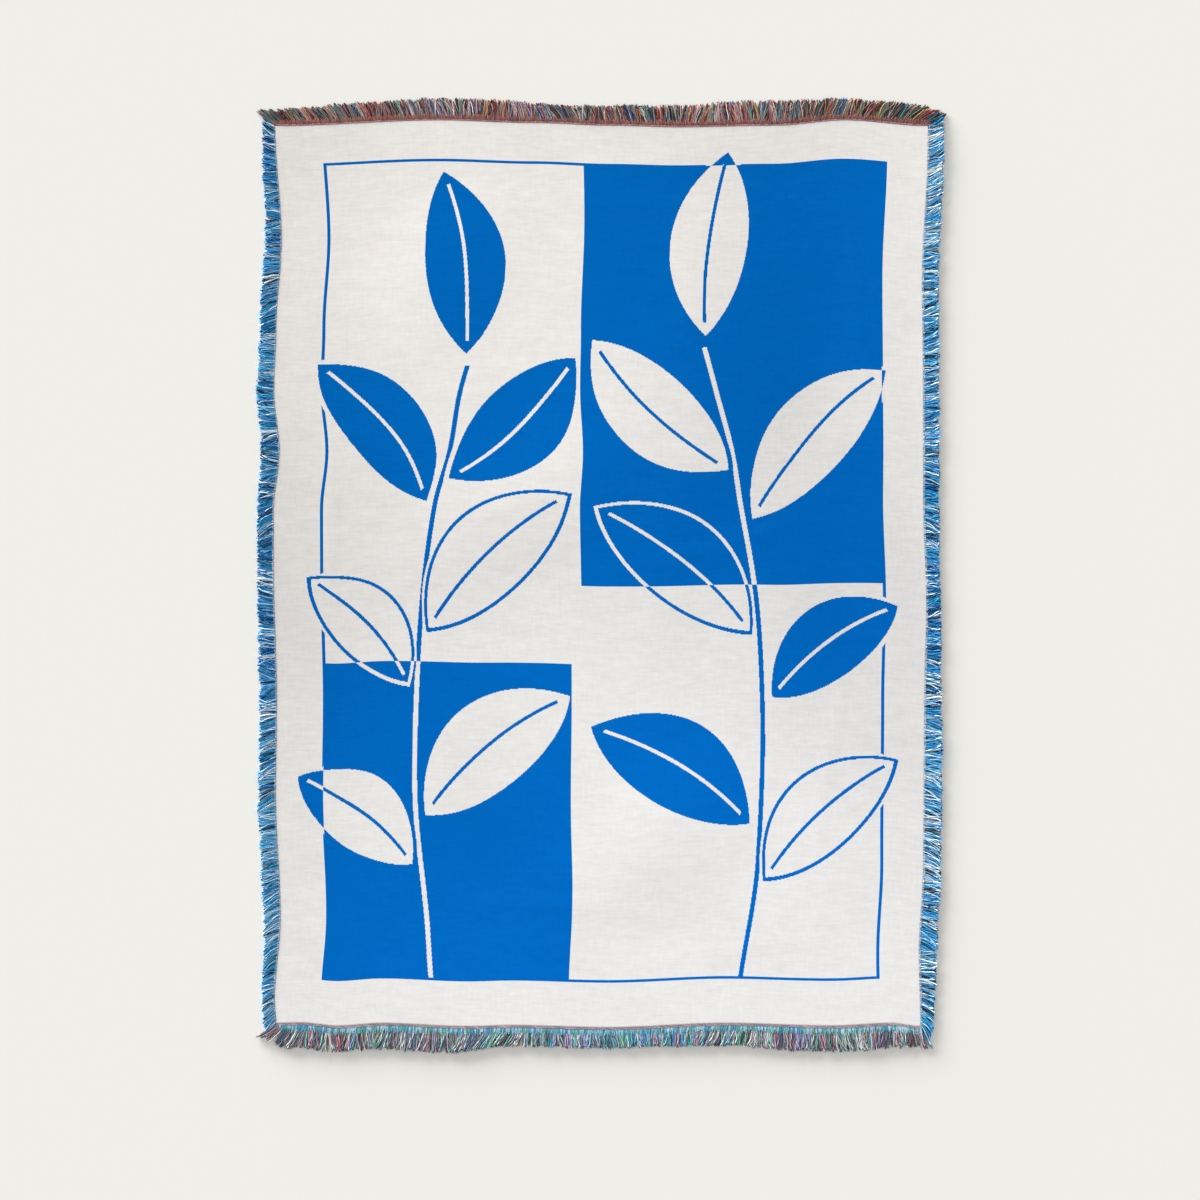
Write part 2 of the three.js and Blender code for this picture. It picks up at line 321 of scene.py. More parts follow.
# Stems: the two ends, how far the middle bows aside, and half the width
STEMS = (
    (-318, -757, -250, 380, -62, 4.5),
    (262, -757, 190, 420, 66, 4.5),
)

# Leaves from the lowest on each stem: its stem, how far up the stem it stands, the way it points
# in degrees, its length and width, how far it bends, and whether it is solid or an outline
LEAVES = (
    (0, 0.17, 142, 265, 140, 22, True),
    (0, 0.25, 40, 350, 165, -26, True),
    (0, 0.46, 132, 270, 130, 22, False),
    (0, 0.55, 44, 370, 160, -26, False),
    (0, 0.76, 128, 330, 145, 24, True),
    (0, 0.8, 44, 330, 150, 20, True),
    (0, 1, 98, 340, 150, 16, True),
    (1, 0.14, 42, 330, 145, -24, False),
    (1, 0.23, 148, 350, 165, 26, True),
    (1, 0.43, 36, 285, 140, -22, True),
    (1, 0.53, 140, 370, 160, 26, False),
    (1, 0.71, 48, 370, 150, -24, True),
    (1, 0.79, 136, 350, 155, -20, True),
    (1, 1, 84, 345, 145, -16, True),
)
LEAF_STALK = 22 * MM
LEAF_LINE = 3.3 * MM
LEAF_CLEARANCE = 8.1 * MM
MIDRIB_SHARE = 0.86

# A woven design can only change from thread to thread, so its edges run in small steps
DESIGN_STEP = (1.2 * MM, 1.7 * MM, 1)


def bent_line_group():
    """Place along and beside a bowed line, from a place measured along its chord."""
    tree, add, given = new_group(
        "Bowed line",
        "ShaderNodeTree",
        (("Place", VECTOR), ("Bow by Square", FLOAT)),
        (("Along Square", FLOAT), ("Beside", FLOAT)),
    )
    place = add(SEPARATE, given["Place"])
    along = add(MATH, place.outputs[0], place.outputs[0], operation="MULTIPLY")
    bowed = add(MATH, along, given["Bow by Square"], place.outputs[1], operation="MULTIPLY_ADD")
    beside = add(MATH, bowed, operation="ABSOLUTE")
    add("NodeGroupOutput", along, beside)
    return tree


def leaf_group(bowed_line):
    """A pointed leaf between two equal arcs on a bowed line: its mark, and where the cloth
    outside its clear margin keeps the marks below it."""
    sizes = ("Bow by Square", "Arc Radius", "Arc Inset", "Midrib End Square", "Solid")
    tree, add, given = new_group(
        "Leaf",
        "ShaderNodeTree",
        (("Place", VECTOR), *((name, FLOAT) for name in sizes)),
        (("Mark", FLOAT), ("Keep", FLOAT)),
    )
    line = add(GROUP, given["Place"], given["Bow by Square"], node_tree=bowed_line)
    along, beside = line.outputs["Along Square"], line.outputs["Beside"]
    from_arc = add(MATH, beside, given["Arc Inset"], operation="ADD")
    square = add(MATH, from_arc, from_arc, along, operation="MULTIPLY_ADD")
    root = add(MATH, square, operation="SQRT")
    past_edge = add(MATH, root, given["Arc Radius"], operation="SUBTRACT")
    inside = add(MATH, past_edge, 0.0, operation="LESS_THAN")
    keep = add(MATH, past_edge, LEAF_CLEARANCE, operation="GREATER_THAN")
    outline = add(MATH, past_edge, 0.0, LEAF_LINE, operation="COMPARE")
    near_rib = add(MATH, beside, LEAF_LINE, operation="LESS_THAN")
    before_end = add(MATH, along, given["Midrib End Square"], operation="LESS_THAN")
    rib_line = add(MATH, near_rib, before_end, operation="MULTIPLY")
    rib = add(MATH, rib_line, inside, operation="MULTIPLY")
    solid = add(MATH, inside, rib, operation="SUBTRACT")
    drawn = add(MATH, outline, rib, operation="MAXIMUM")
    change = add(MATH, solid, drawn, operation="SUBTRACT")
    mark = add(MATH, change, given["Solid"], drawn, operation="MULTIPLY_ADD")
    add("NodeGroupOutput", mark, keep)
    return tree


def stem_point(stem, share):
    """A point of a stem, at a share of the way up it."""
    from_x, from_y, to_x, to_y, bow, _ = STEMS[stem]
    chord = Vector((to_x - from_x, to_y - from_y, 0)) * MM
    side = Vector((-chord.y, chord.x, 0)).normalized()
    bowed = bow * MM * (1 - (2 * share - 1) ** 2)
    return Vector((from_x, from_y, 0)) * MM + chord * share - side * bowed


def design_group():
    """The whole design on the cloth's flat place: 1 where the blue threads lie on the face."""
    tree, add, given = new_group(
        "Woven design", "ShaderNodeTree", (("Place", VECTOR),), (("Blue", FLOAT),)
    )
    bowed_line = bent_line_group()
    leaf_shape = leaf_group(bowed_line)
    middle = (*DESIGN_MIDDLE, 0)
    centred = add(VECTOR_MATH, given["Place"], middle, operation="SUBTRACT")
    stepped = add(VECTOR_MATH, centred, DESIGN_STEP, operation="SNAP")

    marks = 0.0
    for stem, (_, _, _, _, bow, half_width) in enumerate(STEMS):
        chord = stem_point(stem, 1) - stem_point(stem, 0)
        half = chord.length / 2
        centre = stem_point(stem, 0.5)
        turn = (0, 0, math.atan2(chord.y, chord.x))
        own = add(MAPPING, stepped, centre, turn, vector_type="TEXTURE")
        line = add(GROUP, own, -bow * MM / half ** 2, node_tree=bowed_line)
        near = add(MATH, line.outputs["Beside"], half_width * MM, operation="LESS_THAN")
        within = add(MATH, line.outputs["Along Square"], half ** 2, operation="LESS_THAN")
        marks = add(MATH, near, within, marks, operation="MULTIPLY_ADD")

    keeps = 1.0
    for stem, share, angle, length, width, bend, solid in LEAVES:
        half = length * MM / 2
        half_width = width * MM / 2
        radius = (half ** 2 + half_width ** 2) / (2 * half_width)
        turn = math.radians(angle)
        way = Vector((math.cos(turn), math.sin(turn), 0))
        side = Vector((-way.y, way.x, 0))
        centre = stem_point(stem, share) + way * (LEAF_STALK + half) - side * bend * MM
        own = add(MAPPING, stepped, centre, (0, 0, turn), vector_type="TEXTURE")
        leaf = add(
            GROUP,
            into={
                "Place": own,
                "Bow by Square": -bend * MM / half ** 2,
                "Arc Radius": radius,
                "Arc Inset": radius - half_width,
                "Midrib End Square": (half * MIDRIB_SHARE) ** 2,
                "Solid": float(solid),
            },
            node_tree=leaf_shape,
        )
        keep = leaf.outputs["Keep"]
        marks = add(MATH, marks, keep, leaf.outputs["Mark"], operation="MULTIPLY_ADD")
        keeps = add(MATH, keeps, keep, operation="MULTIPLY")

    place = add(SEPARATE, stepped)
    across, along = place.outputs[0], place.outputs[1]
    ground = 0.0
    for x0, y0, x1, y1 in BLUE_BLOCKS:
        in_x, in_y = (
            add(MATH, axis, (low + high) * MM / 2, (high - low) * MM / 2, operation="COMPARE")
            for axis, low, high in ((across, x0, x1), (along, y0, y1))
        )
        ground = add(MATH, in_x, in_y, ground, operation="MULTIPLY_ADD")

    half_x, half_y, half_line = (size * MM for size in FRAME_LINE)
    past_x, past_y = (
        add(MATH, add(MATH, axis, operation="ABSOLUTE"), half, operation="SUBTRACT")
        for axis, half in ((across, half_x), (along, half_y))
    )
    past = add(MATH, past_x, past_y, operation="MAXIMUM")
    on_line = add(MATH, past, 0.0, half_line, operation="COMPARE")
    shown_line = add(MATH, on_line, keeps, operation="MULTIPLY")

    differs = add(MATH, ground, marks, operation="SUBTRACT")
    changed = add(MATH, differs, operation="ABSOLUTE")
    blue = add(MATH, changed, shown_line, operation="MAXIMUM")
    add("NodeGroupOutput", blue)
    return tree


# The cloth's two yarns, as the light of the room shows them, and the same yarns with painted light,
# a little cooler and brighter, towards the cloth's lower right
COTTON_WHITE = "#ece8e3"
COTTON_WHITE_PAINTED_LIGHT = "#ebeae9"
COTTON_BLUE = "#0265b5"
COTTON_BLUE_PAINTED_LIGHT = "#026dcb"
PAINTED_LIGHT_IN_MIDDLE = 0.5
PAINTED_LIGHT_PER_METRE_ACROSS = 0.35
PAINTED_LIGHT_PER_METRE_UP = -0.45

# Coloured warp threads show through the white a very little, in patches of this size
WARP_PATCH = (14 * MM, 30 * MM)
WARP_TINTS = ((0.34, "#ebe8e3"), (0.66, "#ede8e3"))

# Threads of the weave, the length over which they wander and by how many radians, and how far
# the slubs stand out in the relief
WARP_PITCH = 1.5 * MM
WEFT_PITCH = 1.25 * MM
THREAD_WANDER = 30 * MM
THREAD_SHIFT = 24.0
SLUB_RELIEF = 3.0

# Slubs and uneven threads: the size of one patch across and along in millimetres, how much it
# changes the tone, and a place of its own in the noise
SLUBS = (
    (70, 1.25, 0.019, 3.1),
    (1.5, 110, 0.009, 7.7),
    (26, 4.5, 0.07, 1.3),
    (5.5, 24, 0.045, 5.9),
    (60, 15, 0.04, 12.6),
    (170, 140, 0.03, 9.4),
)

# Broad soft patches of painted shade, where the cloth is darker: the middle of each in millimetres from
# the panel's middle, its half sizes, and how much it changes the tone
PAINTED_SHADE_PATCHES = (
    (-680, 250, 420, 1100, -0.1),
    (330, 330, 420, 900, -0.12),
    (0, 20, 900, 330, -0.05),
    (-560, -120, 600, 620, -0.085),
    (-620, -620, 260, 420, -0.045),
    (-560, 800, 380, 260, -0.06),
    (60, 840, 620, 220, -0.04),
    (600, -190, 330, 620, -0.105),
)


def woven_cotton():
    """Double-woven cotton jacquard: matt, with fine crosswise ribs, and slubs where a yarn was
    spun unevenly. The two layers of threads change places, so the underside has the colours
    the other way round."""
    made, add = new_material("Double-woven cotton jacquard")
    place = add("ShaderNodeAttribute", attribute_name="cloth_place").outputs["Vector"]
    underside = add("ShaderNodeAttribute", attribute_name="underside").outputs["Fac"]
    design = add(GROUP, into={"Place": place}, node_tree=design_group())
    swapped = add(MATH, design, underside, operation="SUBTRACT")
    blue = add(MATH, swapped, operation="ABSOLUTE")

    tone = 1.0
    for size_x, size_y, change, start in SLUBS:
        scale = (1 / (size_x * MM), 1 / (size_y * MM), 1)
        patch = add(MAPPING, place, (0, 0, start), None, scale)
        noise = add(NOISE, into={"Vector": patch, "Scale": 1.0, "Detail": 1.0})
        centred = add(MATH, noise, 0.5, operation="SUBTRACT")
        tone = add(MATH, centred, change * 2, tone, operation="MULTIPLY_ADD")

    # Painted shade: each broad patch darkens the cloth's tone
    for x, y, half_x, half_y, change in PAINTED_SHADE_PATCHES:
        centre, sizes = (x * MM, y * MM, 0), (half_x * MM, half_y * MM, 1)
        own = add(MAPPING, place, centre, None, sizes, vector_type="TEXTURE")
        ball = add("ShaderNodeTexGradient", own, gradient_type="SPHERICAL")
        soft = add(MAP_RANGE, ball.outputs["Fac"], interpolation_type="SMOOTHSTEP")
        tone = add(MATH, soft, change, tone, operation="MULTIPLY_ADD")

    patch_scale = (*(1 / size for size in WARP_PATCH), 1)
    patch = add(MAPPING, place, None, None, patch_scale)
    noise = add(NOISE, into={"Vector": patch, "Scale": 1.0, "Detail": 2.0})
    tint = add("ShaderNodeValToRGB", noise)
    stops = tint.color_ramp.elements
    for stop, (share, colour) in zip(stops, WARP_TINTS):
        stop.position = share
        stop.color = linear(colour)
    stops.new(0.5).color = linear(COTTON_WHITE)

    # Painted light: the cloth's colour turns a little cooler and brighter towards its lower right
    flat = add(SEPARATE, place).outputs
    painted_light = add(MATH, flat[0], PAINTED_LIGHT_PER_METRE_ACROSS, PAINTED_LIGHT_IN_MIDDLE, operation="MULTIPLY_ADD")
    painted_light = add(MATH, flat[1], PAINTED_LIGHT_PER_METRE_UP, painted_light, operation="MULTIPLY_ADD")
    white, blues = (
        add(MIX, into={"Factor_Float": painted_light, "A_Color": a, "B_Color": b}, data_type="RGBA")
        for a, b in (
            (tint, linear(COTTON_WHITE_PAINTED_LIGHT)), (linear(COTTON_BLUE), linear(COTTON_BLUE_PAINTED_LIGHT)),
        )
    )
    colour = add(MIX, into={"Factor_Float": blue, "A_Color": white, "B_Color": blues}, data_type="RGBA")
    # The colour takes the tone, which holds the slubs and the painted shade of the broad patches
    toned = add(VECTOR_MATH, colour, tone, operation="MULTIPLY")

    # Plain weave relief, a little over a millimetre from thread to thread. The threads wander, so
    # that they never line up into a grid with the pixels of a distant view.
    per_thread = (math.pi / WARP_PITCH, math.pi / WEFT_PITCH, 0)
    noise = add(NOISE, into={"Vector": place, "Scale": 1 / THREAD_WANDER, "Detail": 2.0})
    wander = add(VECTOR_MATH, noise.outputs["Color"], into={"Scale": THREAD_SHIFT}, operation="SCALE")
    threads = add(VECTOR_MATH, place, per_thread, wander, operation="MULTIPLY_ADD")
    waves = add(VECTOR_MATH, threads, operation="SINE")
    wave = add(SEPARATE, waves)
    crossing = add(MATH, wave.outputs[0], wave.outputs[1], operation="MULTIPLY")
    weave = add(MATH, crossing, operation="ABSOLUTE")
    relief = add(MATH, tone, SLUB_RELIEF, weave, operation="MULTIPLY_ADD")
    bump = add("ShaderNodeBump", into={"Strength": 0.4, "Distance": 0.1 * MM, "Height": relief})
    finish = {"Base Color": toned, "Normal": bump, "Roughness": 0.95, "Specular IOR Level": 0.0}
    add("ShaderNodeOutputMaterial", add(PRINCIPLED, into=finish))
    return made


def grid_shares(cells, length):
    """Even shares of a length, with one more close to each end, so that only a narrow row of
    faces turns down to the rim."""
    row = EDGE_ROW / length
    return [0, row, *(n / cells for n in range(1, cells)), 1 - row, 1]


# Where the panel lies on its bake's map: the left, the foot, the width and the height of the face,
# and of the small underside, and for the rim the left of its first side, the step from side to
# side, the width of one of its bands, its foot and its height
FACE_ON_MAP = (0.01, 0.0125, 0.7, 0.975)
UNDERSIDE_ON_MAP = (0.73, 0.0125, 0.26, 0.362)
RIM_ON_MAP = (0.74, 0.06, 0.012, 0.4, 0.58)


def woven_panel(material):
    """The panel: a face and an underside on one grid, joined by a rounded rim."""
    across = grid_shares(CELLS_ACROSS, PANEL_WIDTH)
    along = grid_shares(CELLS_ALONG, PANEL_LENGTH)
    last_i, last_j = len(across) - 1, len(along) - 1
    points, places, faces, bake_places, undersides = [], [], [], [], []
    over, under = {}, {}
    for j, v in enumerate(along):
        for i, u in enumerate(across):
            plan = plan_point(u, v)
            inset_x = plan.x * (1 - 2 * RIM_RADIUS / PANEL_WIDTH)
            inset_y = plan.y * (1 - 2 * RIM_RADIUS / PANEL_LENGTH)
            floor_gap = swell(RISES, plan) + swell(CREASES, plan)
            for grid, height in ((over, CLOTH_THICKNESS), (under, 0)):
                grid[i, j] = len(points)
                points.append(MIDDLE + Vector((inset_x, inset_y, floor_gap + height)))
                places.append(((u - 0.5) * PANEL_WIDTH, (v - 0.5) * PANEL_LENGTH, 0))

    # The face and the underside, which is wound the other way round
    for j in range(last_j):
        for i in range(last_i):
            corners = [(i, j), (i + 1, j), (i + 1, j + 1), (i, j + 1)]
            for grid, map_place, is_under in ((over, FACE_ON_MAP, 0.0), (under, UNDERSIDE_ON_MAP, 1.0)):
                left, foot, wide, high = map_place
                faces.append([grid[corner] for corner in corners])
                bake_places += [(left + wide * across[m], foot + high * along[n]) for m, n in corners]
                undersides.append(is_under)
                corners.reverse()

    # The rim runs round anticlockwise
    borders = (
        [(i, 0) for i in range(last_i + 1)],
        [(last_i, j) for j in range(last_j + 1)],
        [(last_i - i, last_j) for i in range(last_i + 1)],
        [(0, last_j - j) for j in range(last_j + 1)],
    )
    rings = [over]
    for angle in RIM_ANGLES:
        out = RIM_RADIUS * math.cos(math.radians(angle))
        drop = RIM_RADIUS * (1 - math.sin(math.radians(angle)))
        ring = {}
        for i, j in dict.fromkeys(corner for border in borders for corner in border):
            away = Vector(((i == last_i) - (i == 0), (j == last_j) - (j == 0), 0)).normalized()
            ring[i, j] = len(points)
            points.append(points[over[i, j]] + away * out - Vector((0, 0, drop)))
            places.append(places[over[i, j]])
        rings.append(ring)
    rings.append(under)
    first, step, band, foot, rise = RIM_ON_MAP
    for side, border in enumerate(borders):
        for level, (upper, lower) in enumerate(zip(rings, rings[1:])):
            left = first + step * side + band * level
            for n, (here, after) in enumerate(zip(border, border[1:])):
                faces.append([lower[here], lower[after], upper[after], upper[here]])
                low, high = (foot + rise * m / (len(border) - 1) for m in (n, n + 1))
                bake_places += [(left + band, low), (left + band, high), (left, high), (left, low)]
                undersides.append(0.0)

    mesh = bpy.data.meshes.new("woven_panel")
    mesh.from_pydata(points, [], faces)
    bake_map = mesh.uv_layers.new(name="OFBake")
    bake_map.uv.foreach_set("vector", [number for pair in bake_places for number in pair])
    place_attribute = mesh.attributes.new("cloth_place", "FLOAT_VECTOR", "POINT")
    place_attribute.data.foreach_set("vector", [number for place in places for number in place])
    mesh.attributes.new("underside", "FLOAT", "FACE").data.foreach_set("value", undersides)
    mesh.shade_smooth()
    return new_piece("woven_panel", mesh, material)


# Each side: the two ends of its edge on the panel, the way along it, the way out, and its length
SIDES = {
    "left": ((0, 0), (0, 1), (0, 1, 0), (-1, 0, 0), PANEL_LENGTH),
    "right": ((1, 0), (1, 1), (0, 1, 0), (1, 0, 0), PANEL_LENGTH),
    "bottom": ((0, 0), (1, 0), (1, 0, 0), (0, -1, 0), PANEL_WIDTH),
    "top": ((0, 1), (1, 1), (1, 0, 0), (0, 1, 0), PANEL_WIDTH),
}
GUIDE_SPACING = 4 * MM
CORNER_REACH = 24 * MM


def guide_line(side, row_start, row_reach, lean_share):
    """A line along one edge, this far out from it, which carries how the yarn leans, reaches and
    is coloured there. Without a reach of its own, a row reaches as far as the side's table says.
    Close to the cloth's corners the line runs down to them."""
    (u0, v0), (u1, v1), _, out, length = SIDES[side]
    count = round(length / GUIDE_SPACING)
    points = []
    values = {"station": [], "lean": [], "reach": [], "shift": []}
    for n in range(count + 1):
        share = n / count
        at = share * length / MM
        edge = plan_point(u0 + (u1 - u0) * share, v0 + (v1 - v0) * share)
        start = row_start * min(1, min(share, 1 - share) * length / CORNER_REACH)
        points.append(MIDDLE + edge + Vector(out) * start)
        values["station"].append(share * length)
        values["lean"].append(lean_share * math.tan(math.radians(eased(LEAN[side], at))))
        values["reach"].append(row_reach or eased(REACH[side], at) * MM - start)
        values["shift"].append(eased(SHADE_SHIFT[side], at))
    mesh = bpy.data.meshes.new("guide")
    mesh.from_pydata(points, [(n, n + 1) for n in range(count)], [])
    for name, column in values.items():
        mesh.attributes.new(name, "FLOAT", "POINT").data.foreach_set("value", column)
    return new_object("guide", mesh)


def grown(guide, tree, settings, name):
    """Runs a node tree on a guide line with these settings, and keeps the result as a mesh."""
    modifier = guide.modifiers.new("Grow", "NODES")
    modifier.node_group = tree
    for item in tree.interface.items_tree:
        if item.in_out == "INPUT" and item.name in settings:
            modifier[item.identifier] = settings[item.name]
    depsgraph = bpy.context.evaluated_depsgraph_get()
    mesh = bpy.data.meshes.new_from_object(guide.evaluated_get(depsgraph), depsgraph=depsgraph)
    bpy.data.objects.remove(guide)
    return new_piece(name, mesh)


# How loose fringe lies. At the sides it is cut more evenly, and towards the light it lies lower,
# so that it casts no shade on the cloth. A header's short stubs and the line along the cloth's
# edge are the same yarns, laid flat.
LOOSE = {
    "Yarn Radius": 0.92 * MM,
    "Root Jitter": 0.7 * MM,
    "Root Spread": 1.3 * MM,
    "Clump Width": 12 * MM,
    "Clump Pull": 0.42,
    "Slant": 0.0,
    "Clump Sway": 0.18,
    "Yarn Sway": 0.27,
    "Clump Reach": 0.05,
    "Yarn Reach": 0.16,
    "Curl": 1.1 * MM,
    "Crossing": 1.0,
    "Root Height": 1.6 * MM,
    "Rest Height": 0.95 * MM,
    "Layers": 3.0,
    "Layer Height": 1.25 * MM,
    "Arch": 0.0,
    "Shade Width": 1.5 * MM,
}
EVEN = {**LOOSE, "Yarn Reach": 0.1}
LOW = {"Layer Height": 0.75 * MM, "Crossing": 0.35}
STUBS = {
    **LOOSE,
    "Yarn Radius": 0.85 * MM,
    "Root Jitter": 0.3 * MM,
    "Root Spread": 0.4 * MM,
    "Clump Pull": 0.1,
    "Clump Sway": 0.05,
    "Yarn Sway": 0.12,
    "Yarn Reach": 0.45,
    "Curl": 0.1 * MM,
    "Crossing": 0.0,
    "Root Height": 1.8 * MM,
    "Rest Height": 2.0 * MM,
    "Layers": 1.0,
    "Arch": 1.2 * MM,
    "Shade Width": 3.0 * MM,
}
LINE = {
    **STUBS,
    "Yarn Radius": 0.7 * MM,
    "Root Jitter": 0.1 * MM,
    "Root Spread": 0.2 * MM,
    "Slant": 2.2,
    "Clump Sway": 0.0,
    "Yarn Sway": 0.1,
    "Yarn Reach": 0.05,
    "Root Height": 2.2 * MM,
    "Arch": 0.3 * MM,
    "Shade Width": 9 * MM,
}

YARN_INPUTS = (
    ("Geometry", "NodeSocketGeometry"),
    ("Along", VECTOR),
    ("Out", VECTOR),
    ("Count", "NodeSocketInt"),
    ("Seed", "NodeSocketInt"),
    *((size, FLOAT) for size in LOOSE),
    ("Yarn Material", "NodeSocketMaterial"),
)

# Clumps are of uneven width, by a slow noise with a place of its own for each seed
CLUMP_NOISE_SCALE = 0.6
CLUMP_NOISE_HEIGHT = 1.6
NOISE_PER_SEED = 13.7

# Every kind of chance has seeds of its own, and every layer of yarns has colours of its own
SEEDS_PER_CHANCE = 100.0
SHADES_PER_LAYER = 9973.0
SHADE_STEP_PER_LAYER = 0.37

# The shares of the palette that a yarn, and its whole clump, can move through
OWN_SHADES = 0.65
CLUMP_SHADES = 0.1

# How one yarn runs from its root to its tip, over a length of 1
YARN_POINTS = 6
LEAN_POWER = 1.3
WAVE_RADIANS = 8.0
WAVE_STARTS = 40.0
SETTLED_BY = 0.45
LOW_LAYER_POWER = 1.5
ROOT_LAYER_HEIGHT = 0.25 * MM
TIP_LIFT = 0.8 * MM
CROSSING_HEIGHT = 1.3 * MM
YARN_SIDES = 4
ROOT_THICKNESS = 0.86
TIP_LOOSENING = 0.12


def yarn_tree():
    """Loose yarns side by side out from a guide line. They draw together into clumps, which
    lean and reach a little differently, and lie on one another in a few layers."""
    tree, add, given = new_group(
        "Loose yarns", "GeometryNodeTree", YARN_INPUTS, (("Geometry", "NodeSocketGeometry"),)
    )
    line = add("GeometryNodeMeshToCurve", given["Geometry"])
    points = add(
        "GeometryNodeCurveToPoints", into={"Curve": line, "Count": given["Count"]}, mode="COUNT"
    )
    index = add("GeometryNodeInputIndex")
    station, lean, reach, shift = (
        add(NAMED_ATTRIBUTE, name).outputs[0]
        for name in ("station", "lean", "reach", "shift")
    )

    # Clumps of uneven width, numbered along the edge
    even = add(MATH, station, given["Clump Width"], operation="DIVIDE")
    own_place = add(MATH, given["Seed"], NOISE_PER_SEED, even, operation="MULTIPLY_ADD")
    uneven = add(
        NOISE,
        into={"W": own_place, "Scale": CLUMP_NOISE_SCALE, "Detail": 0.0},
        noise_dimensions="1D",
    )
    clump_place = add(MATH, uneven, CLUMP_NOISE_HEIGHT, even, operation="MULTIPLY_ADD")
    clump = add(MATH, clump_place, operation="FLOOR")
    in_clump = add(MATH, clump_place, clump, operation="SUBTRACT")
    to_middle = add(MATH, 0.5, in_clump, operation="SUBTRACT")
    pull = add(MATH, given["Clump Width"], given["Clump Pull"], operation="MULTIPLY")
    draw = add(MATH, to_middle, pull, operation="MULTIPLY")

    # More yarns lie low than high, so the upper ones leave dark gaps between them, which the
    # material deepens with painted shade by each yarn's depth
    chance = {}
    for name, owner, low, high in (
        ("layer", index, 0.0, 1.0),
        ("Clump Sway", clump, -1.0, 1.0),
        ("Yarn Sway", index, -1.0, 1.0),
        ("Clump Reach", clump, -1.0, 1.0),
        ("Yarn Reach", index, -1.0, 0.3),
        ("Root Jitter", index, -1.0, 1.0),
        ("tone", index, 0.0, 1.0),
        ("clump_tone", clump, 0.0, 1.0),
        ("Root Spread", index, -1.0, 1.0),
    ):
        own_seeds = SEEDS_PER_CHANCE * (len(chance) + 1)
        seed = add(MATH, given["Seed"], own_seeds, operation="ADD")
        chance[name] = add(
            "FunctionNodeRandomValue",
            into={"Min_001": low, "Max_001": high, "ID": owner, "Seed": seed},
        )
    lower = add(MATH, chance["layer"], LOW_LAYER_POWER, operation="POWER")
    raised = add(MATH, lower, given["Layers"], operation="MULTIPLY")
    layer = add(MATH, raised, operation="FLOOR")
    top_layer = add(MATH, given["Layers"], 1.0, operation="SUBTRACT")
    depth_floor = add(MATH, top_layer, 1.0, operation="MAXIMUM")
    depth = add(MATH, layer, depth_floor, operation="DIVIDE")

    # Neighbours on the same layer share a colour, as a few yarns of one colour lie together, and
    # a clump and a longer stretch of the edge each keep to one part of the palette
    shade_place = add(MATH, station, given["Shade Width"], operation="DIVIDE")
    shifted = add(MATH, layer, SHADE_STEP_PER_LAYER, shade_place, operation="MULTIPLY_ADD")
    cell = add(MATH, shifted, operation="FLOOR")
    shade_owner = add(MATH, layer, SHADES_PER_LAYER, cell, operation="MULTIPLY_ADD")
    own = add("FunctionNodeRandomValue", into={"ID": shade_owner, "Seed": given["Seed"]})
    of_clump = add(MATH, chance["clump_tone"], CLUMP_SHADES, shift, operation="MULTIPLY_ADD")
    tint = add(MATH, own, OWN_SHADES, of_clump, operation="MULTIPLY_ADD")

    sway = add(MATH, lean, given["Slant"], operation="ADD")
    for name in ("Clump Sway", "Yarn Sway"):
        sway = add(MATH, chance[name], given[name], sway, operation="MULTIPLY_ADD")
    share = 1.0
    for name in ("Clump Reach", "Yarn Reach"):
        share = add(MATH, chance[name], given[name], share, operation="MULTIPLY_ADD")
    out_length = add(MATH, reach, share, operation="MULTIPLY")

    root = add("GeometryNodeInputPosition")
    for way, name in (("Along", "Root Jitter"), ("Out", "Root Spread")):
        distance = add(MATH, chance[name], given[name], operation="MULTIPLY")
        move = add(VECTOR_MATH, into={"Vector": given[way], "Scale": distance}, operation="SCALE")
        root = add(VECTOR_MATH, root, move, operation="ADD")

    rooted = points
    for name, value in (
        ("sway", sway),
        ("out_length", out_length),
        ("draw", draw),
        ("layer", layer),
        ("depth", depth),
        ("tint", tint),
        ("tone", chance["tone"]),
        ("clump_tone", chance["clump_tone"]),
        ("root", root),
    ):
        rooted = add(
            STORE_ATTRIBUTE,
            into={"Geometry": rooted, "Name": name, "Value": value},
            data_type="FLOAT_VECTOR" if name == "root" else "FLOAT",
        )

    # One straight yarn, copied to every root and then bent where it lies
    straight = add("GeometryNodeCurvePrimitiveLine", into={"End": (0, 0, MM)})
    stepped = add("GeometryNodeResampleCurve", into={"Curve": straight, "Count": YARN_POINTS})
    copies = add("GeometryNodeInstanceOnPoints", into={"Points": rooted, "Instance": stepped})
    yarns = add("GeometryNodeRealizeInstances", copies)
    factor = add("GeometryNodeSplineParameter").outputs["Factor"]
    yarns = add(STORE_ATTRIBUTE, into={"Geometry": yarns, "Name": "way", "Value": factor})

    read = {
        name: add(NAMED_ATTRIBUTE, name).outputs[0]
        for name in ("sway", "out_length", "draw", "layer", "tone", "way")
    }
    way = read["way"]
    out = add(MATH, read["out_length"], way, operation="MULTIPLY")
    bent = add(MATH, way, LEAN_POWER, operation="POWER")
    lean_length = add(MATH, read["out_length"], bent, operation="MULTIPLY")
    square = add(MATH, way, way, operation="MULTIPLY")
    drawn_in = add(MATH, read["draw"], square, operation="MULTIPLY")
    leaned = add(MATH, read["sway"], lean_length, drawn_in, operation="MULTIPLY_ADD")
    phase = add(MATH, read["tone"], WAVE_STARTS, operation="MULTIPLY")
    turns = add(MATH, way, WAVE_RADIANS, phase, operation="MULTIPLY_ADD")
    wave = add(MATH, turns, operation="SINE")
    growing_wave = add(MATH, wave, way, operation="MULTIPLY")
    along = add(MATH, growing_wave, given["Curl"], leaned, operation="MULTIPLY_ADD")

